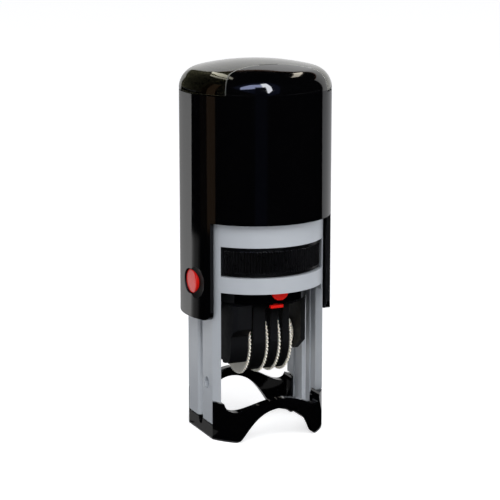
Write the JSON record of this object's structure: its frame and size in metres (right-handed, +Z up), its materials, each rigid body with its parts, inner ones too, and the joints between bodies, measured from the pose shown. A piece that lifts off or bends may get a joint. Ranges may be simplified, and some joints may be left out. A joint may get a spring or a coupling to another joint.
{
  "type": "self-inking round date stamp",
  "caption": "Round self-inking date stamp: a sprung push cap slides over a grey frame and turns the date unit from the ink pad down to the paper.",
  "frame": {"origin": "on the table, under the middle of the foot ring, at the centre of the footprint", "axes": "+Z up along the cap's travel, -Y towards the open front with the ink pad's ribbed grip, +X to the right seen from the front"},
  "size_m": [0.036, 0.036, 0.0895],
  "materials": {
    "frame_grey": "fine satin moulded ABS",
    "gloss_black": "polished black ABS",
    "satin_black": "satin moulded black",
    "smoked_clear": "polished smoked clear plastic",
    "card": "plain coated card",
    "button_red": "polished red ABS",
    "wheel_white": "satin cream acetal",
    "band_rubber": "matte moulded rubber",
    "die_rubber": "matte laser-cut rubber",
    "felt": "ink-soaked felt",
    "spring_steel": "drawn steel wire"
  },
  "bodies": {
    "frame": {"frame": "frame_grey", "foot_ring": "gloss_black", "main_spring": "spring_steel"},
    "cap": {"cap_shell": "gloss_black", "index_card": "card", "pivot_pin_left": "spring_steel", "pivot_pin_right": "spring_steel"},
    "print_unit": {"die_holder": "gloss_black", "die_backing": "satin_black", "text_die": "die_rubber", "band_carrier": "satin_black", "wheel_axle": "spring_steel", "date_marker": "button_red", "latch_tab": "button_red", "date_band_1": "band_rubber", "date_band_2": "band_rubber", "date_band_3": "band_rubber", "date_band_4": "band_rubber"},
    "wheel_1": {"date_wheel_1": "wheel_white"},
    "wheel_2": {"date_wheel_2": "wheel_white"},
    "wheel_3": {"date_wheel_3": "wheel_white"},
    "wheel_4": {"date_wheel_4": "wheel_white"},
    "cover": {"crown_cover": "smoked_clear"},
    "lock_left": {"lock_button_left": "button_red"},
    "lock_right": {"lock_button_right": "button_red"},
    "pad_tray": {"pad_cassette": "satin_black", "ink_pad": "felt"}
  },
  "joints": [
    {"name": "cap_slide", "type": "slide", "parent": "frame", "child": "cap", "axis": [0, 0, -1], "range_m": [0, 0.0247], "stiffness_N_per_m": 500, "springref_m": -0.01, "deforming": ["main_spring"]},
    {"name": "unit_flip", "type": "hinge", "parent": "cap", "child": "print_unit", "pos_m": [0, 0, 0.0318], "axis": [-1, 0, 0], "range_deg": [0, 180]},
    {"name": "wheel_1_turn", "type": "hinge", "parent": "print_unit", "child": "wheel_1", "pos_m": [0, 0, 0.0227], "axis": [1, 0, 0], "continuous": true},
    {"name": "wheel_2_turn", "type": "hinge", "parent": "print_unit", "child": "wheel_2", "pos_m": [0, 0, 0.0227], "axis": [1, 0, 0], "continuous": true},
    {"name": "wheel_3_turn", "type": "hinge", "parent": "print_unit", "child": "wheel_3", "pos_m": [0, 0, 0.0227], "axis": [1, 0, 0], "continuous": true},
    {"name": "wheel_4_turn", "type": "hinge", "parent": "print_unit", "child": "wheel_4", "pos_m": [0, 0, 0.0227], "axis": [1, 0, 0], "continuous": true},
    {"name": "lock_left_press", "type": "slide", "parent": "cap", "child": "lock_left", "axis": [1, 0, 0], "range_m": [0, 0.0008], "stiffness_N_per_m": 800, "springref_m": -0.001},
    {"name": "lock_right_press", "type": "slide", "parent": "cap", "child": "lock_right", "axis": [-1, 0, 0], "range_m": [0, 0.0008], "stiffness_N_per_m": 800, "springref_m": -0.001},
    {"name": "cassette_slide", "type": "slide", "parent": "frame", "child": "pad_tray", "axis": [0, 1, 0], "range_m": [-0.034, 0]},
    {"name": "cover_lift", "type": "slide", "parent": "cap", "child": "cover", "axis": [0, 0, 1], "range_m": [0, 0.012]}
  ],
  "couplings": [
    {"joint": "unit_flip", "follows": "cap_slide", "rad_per_m": 127.18}
  ]
}
